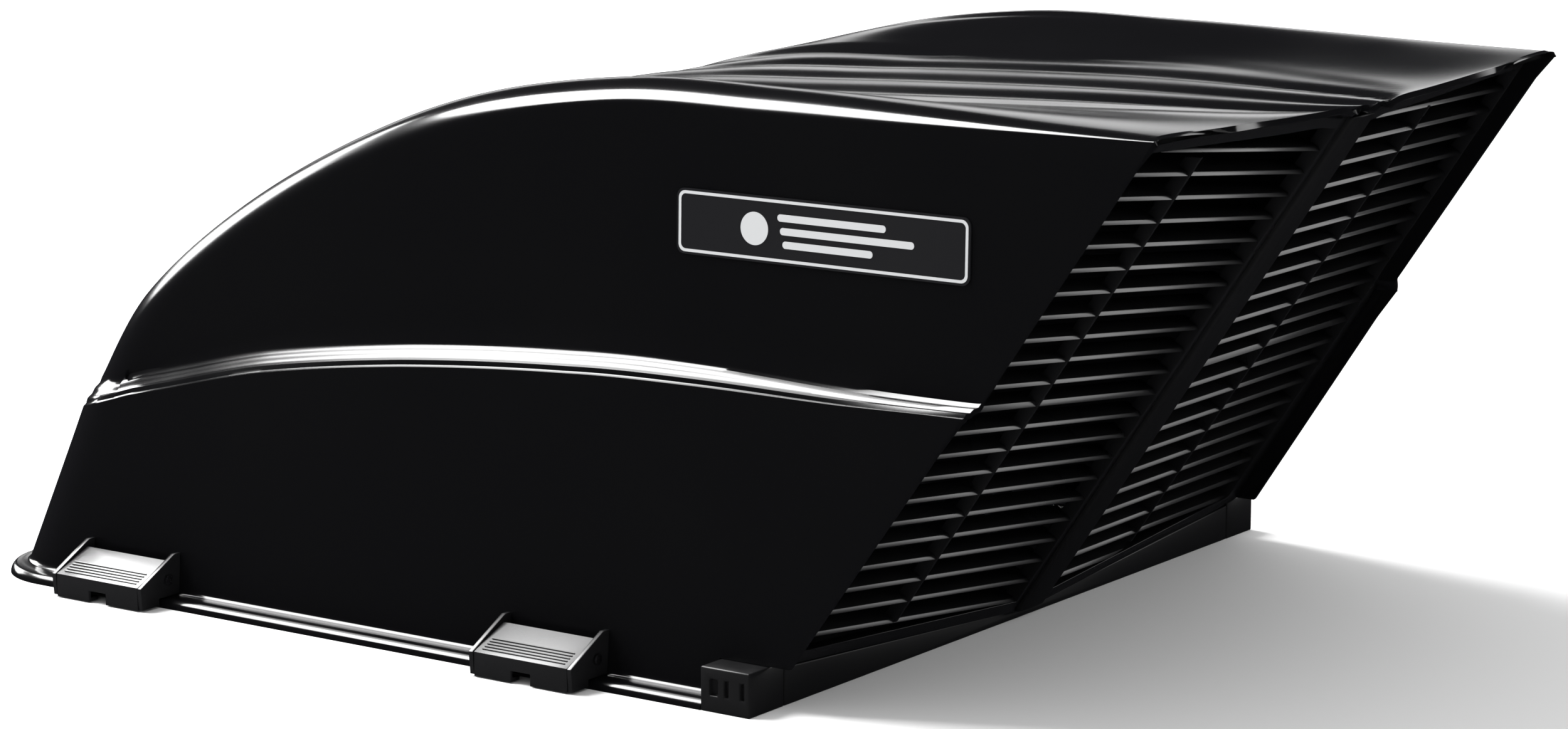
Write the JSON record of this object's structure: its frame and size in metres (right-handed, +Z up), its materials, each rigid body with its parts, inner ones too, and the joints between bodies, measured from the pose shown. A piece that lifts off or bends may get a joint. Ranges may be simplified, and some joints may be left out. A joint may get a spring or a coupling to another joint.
{
  "type": "roof vent cover",
  "caption": "Moulded aerodynamic hood with a louvred rear face that fits over a square roof vent, held at its rim by sprung side clips.",
  "frame": {"origin": "middle of the bounding box, at the level of the rim's underside, which lies on the roof", "axes": "+X to the vehicle's rear, where the louvres face; +Y to the vehicle's right; +Z up; the label is on the -Y side"},
  "size_m": [0.6951, 0.504, 0.286],
  "materials": {
    "moulded": "satin-gloss black moulded polyethylene",
    "louvre": "semi-matt black moulding",
    "clip": "satin black moulding, worn bright on the thumb plate",
    "pin_steel": "bright stainless steel",
    "rivet_steel": "stainless steel",
    "zinc": "zinc-plated steel",
    "label": "black label plate with a silver border line"
  },
  "bodies": {
    "root": {"hood_shell": "moulded", "rear_sill": "moulded", "corner_cap_left": "moulded", "corner_cap_right": "moulded", "louvre_insert_left": "louvre", "louvre_insert_right": "louvre", "centre_rib": "moulded", "label_plate": "label", "left_rear_clip_saddle": "clip", "left_rear_clip_pin": "pin_steel", "left_rear_clip_spring": "pin_steel", "left_rear_rivet_1": "rivet_steel", "left_rear_rivet_2": "rivet_steel", "left_rear_roof_bracket": "zinc", "left_rear_bracket_screw_1": "zinc", "left_rear_bracket_screw_2": "zinc", "left_front_clip_saddle": "clip", "left_front_clip_pin": "pin_steel", "left_front_clip_spring": "pin_steel", "left_front_rivet_1": "rivet_steel", "left_front_rivet_2": "rivet_steel", "left_front_roof_bracket": "zinc", "left_front_bracket_screw_1": "zinc", "left_front_bracket_screw_2": "zinc", "right_rear_clip_saddle": "clip", "right_rear_clip_pin": "pin_steel", "right_rear_clip_spring": "pin_steel", "right_rear_rivet_1": "rivet_steel", "right_rear_rivet_2": "rivet_steel", "right_rear_roof_bracket": "zinc", "right_rear_bracket_screw_1": "zinc", "right_rear_bracket_screw_2": "zinc", "right_front_clip_saddle": "clip", "right_front_clip_pin": "pin_steel", "right_front_clip_spring": "pin_steel", "right_front_rivet_1": "rivet_steel", "right_front_rivet_2": "rivet_steel", "right_front_roof_bracket": "zinc", "right_front_bracket_screw_1": "zinc", "right_front_bracket_screw_2": "zinc"},
    "left_rear_lever": {"left_rear_clip_lever": "clip"},
    "left_front_lever": {"left_front_clip_lever": "clip"},
    "right_rear_lever": {"right_rear_clip_lever": "clip"},
    "right_front_lever": {"right_front_clip_lever": "clip"}
  },
  "joints": [
    {"name": "left_rear_lever_lift", "type": "hinge", "parent": "root", "child": "left_rear_lever", "pos_m": [0.03, -0.232, 0.0135], "axis": [-1, 0, 0], "range_deg": [0, 42], "stiffness_Nm_per_rad": 0.06, "springref_deg": -28.65},
    {"name": "left_front_lever_lift", "type": "hinge", "parent": "root", "child": "left_front_lever", "pos_m": [-0.246, -0.232, 0.0135], "axis": [-1, 0, 0], "range_deg": [0, 42], "stiffness_Nm_per_rad": 0.06, "springref_deg": -28.65},
    {"name": "right_rear_lever_lift", "type": "hinge", "parent": "root", "child": "right_rear_lever", "pos_m": [0.03, 0.232, 0.0135], "axis": [1, 0, 0], "range_deg": [0, 42], "stiffness_Nm_per_rad": 0.06, "springref_deg": -28.65},
    {"name": "right_front_lever_lift", "type": "hinge", "parent": "root", "child": "right_front_lever", "pos_m": [-0.246, 0.232, 0.0135], "axis": [1, 0, 0], "range_deg": [0, 42], "stiffness_Nm_per_rad": 0.06, "springref_deg": -28.65}
  ]
}
